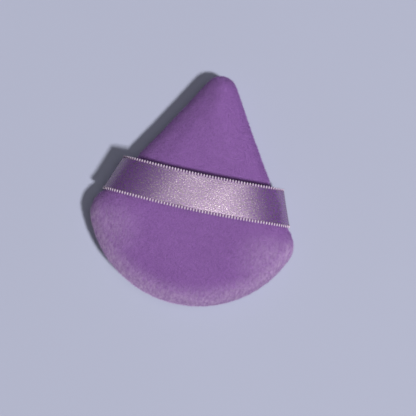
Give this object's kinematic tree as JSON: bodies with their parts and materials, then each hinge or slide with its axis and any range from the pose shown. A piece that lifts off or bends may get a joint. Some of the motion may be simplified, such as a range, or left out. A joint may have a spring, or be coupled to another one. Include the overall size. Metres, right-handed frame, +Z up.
{
  "type": "powder puff",
  "caption": "Triangular velour powder puff with a rounded apex and lobes, a crowned sponge-filled pad with a sewn edge, and a satin ribbon finger strap across its back.",
  "frame": {"origin": "on the surface that the puff lies on, under the middle of its length and width, at the flat of its powdering face", "axes": "+X across the puff from lobe to lobe, +Y from its round base to its apex, +Z up from the powdering face to the strap"},
  "size_m": [0.0708, 0.0798, 0.0203],
  "materials": {
    "velour": "short-pile violet velour with a soft grazing sheen",
    "satin": "glossy violet satin ribbon with picot selvedges",
    "sponge": "open-cell off-white foam",
    "thread": "twisted polyester sewing thread"
  },
  "bodies": {
    "face": {"face_panel": "velour", "sponge_core": "sponge"},
    "back": {"back_panel": "velour", "ribbon_tail_right": "satin", "ribbon_tail_left": "satin", "seam_thread_apex": "thread", "seam_thread_right": "thread", "seam_thread_left": "thread", "closing_thread": "thread"},
    "strap": {"ribbon_strap": "satin"}
  },
  "joints": [
    {"name": "sponge_press", "type": "slide", "parent": "face", "child": "back", "axis": [0, 0, -1], "range_m": [0, 0.004], "stiffness_N_per_m": 1500, "deforming": ["face_panel", "sponge_core"]},
    {"name": "strap_tilt", "type": "hinge", "parent": "back", "child": "strap", "pos_m": [0, 0, 0.007], "axis": [1, 0, 0], "range_deg": [-30, 15], "stiffness_Nm_per_rad": 0.0005}
  ]
}
